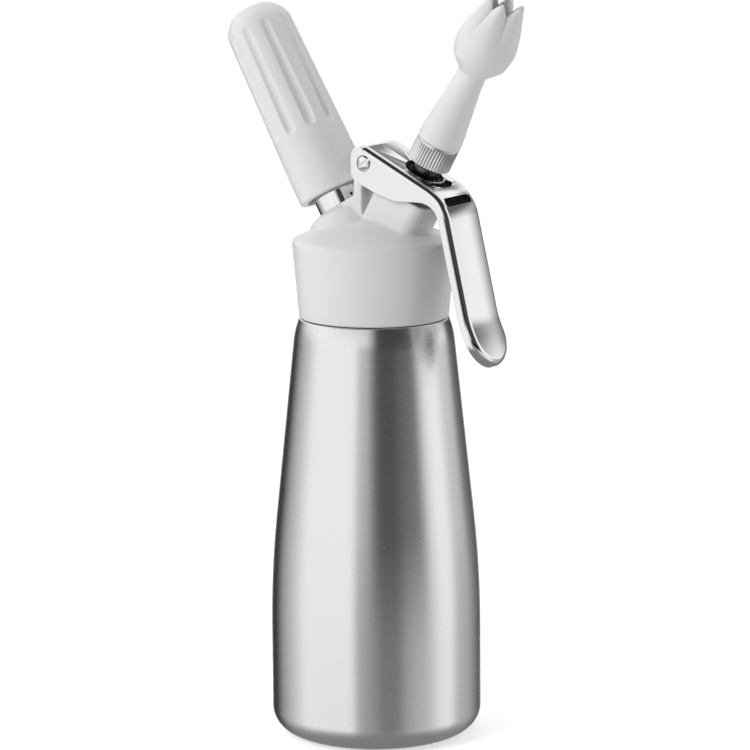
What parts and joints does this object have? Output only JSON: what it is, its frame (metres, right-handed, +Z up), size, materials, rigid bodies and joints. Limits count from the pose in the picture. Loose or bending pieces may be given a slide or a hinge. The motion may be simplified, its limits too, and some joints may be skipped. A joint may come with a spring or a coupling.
{
  "type": "whipped cream dispenser",
  "caption": "Bottle with a screw-on head, a squeeze lever over a sprung valve, a tulip decorating tip and a fluted gas charger holder.",
  "frame": {"origin": "centre of the bottle's flat base", "axes": "+Z up along the bottle's axis; +X towards the lever's finger part and the decorating tip, -X towards the charger holder"},
  "size_m": [0.128, 0.0814, 0.2899],
  "materials": {
    "aluminium": "finely brushed round the body, satin",
    "seal": "matte silicone",
    "white_plastic": "smooth, slightly glossy",
    "steel": "machined",
    "nickel": "nickel plated, satin",
    "chrome": "polished",
    "black_seal": "matte",
    "red_seal": "matte silicone",
    "charger_steel": "zinc plated",
    "brass": "machined"
  },
  "bodies": {
    "bottle": {"bottle": "aluminium"},
    "gasket": {"head_gasket": "seal"},
    "head": {"head_shell": "white_plastic", "thread_ring": "steel", "valve_housing": "nickel", "stem_seal": "black_seal", "charger_stub": "chrome", "piercing_pin": "steel", "piercing_seal": "black_seal", "check_valve": "red_seal", "pivot_screw": "chrome", "pivot_nut": "chrome"},
    "lever": {"lever": "chrome"},
    "valve": {"valve_stem": "nickel", "valve_gasket": "black_seal", "spring_cup": "nickel", "valve_spring": "steel"},
    "washer": {"tip_washer": "black_seal"},
    "tip": {"knurled_ring": "nickel", "decorating_tip": "white_plastic"},
    "charger": {"gas_charger": "charger_steel"},
    "holder": {"charger_holder": "white_plastic", "holder_insert": "brass"}
  },
  "joints": [
    {"name": "head_lift", "type": "slide", "parent": "bottle", "child": "gasket", "axis": [0, 0, 1], "range_m": [0, 0.01501]},
    {"name": "head_unscrew", "type": "hinge", "parent": "gasket", "child": "head", "pos_m": [0, 0, 0.175], "axis": [0, 0, 1], "range_deg": [0, 1800]},
    {"name": "lever_squeeze", "type": "hinge", "parent": "head", "child": "lever", "pos_m": [0.0034, 0, 0.2241], "axis": [0, 1, 0], "range_deg": [0, 10]},
    {"name": "valve_press", "type": "slide", "parent": "head", "child": "valve", "axis": [-0.4802, 0, -0.8771], "range_m": [0, 0.00429], "stiffness_N_per_m": 1200, "springref_m": -0.006, "deforming": ["valve_spring"]},
    {"name": "charger_slide", "type": "slide", "parent": "head", "child": "charger", "axis": [-0.4802, 0, 0.8771], "range_m": [0, 0.0135]},
    {"name": "holder_unscrew", "type": "hinge", "parent": "charger", "child": "holder", "pos_m": [-0.02881, 0, 0.23163], "axis": [-0.4802, 0, 0.8771], "range_deg": [0, 2701]},
    {"name": "tip_slide", "type": "slide", "parent": "valve", "child": "washer", "axis": [0.4802, 0, 0.8771], "range_m": [0, 0.0075]},
    {"name": "tip_unscrew", "type": "hinge", "parent": "washer", "child": "tip", "pos_m": [0.02689, 0, 0.22812], "axis": [0.4802, 0, 0.8771], "range_deg": [0, 2161]}
  ],
  "couplings": [
    {"joint": "head_lift", "follows": "head_unscrew", "m_per_rad": 0.00047746},
    {"joint": "lever_squeeze", "follows": "valve_press", "rad_per_m": 40.65},
    {"joint": "holder_unscrew", "follows": "charger_slide", "rad_per_m": 3490.7},
    {"joint": "tip_unscrew", "follows": "tip_slide", "rad_per_m": 5026.5}
  ]
}
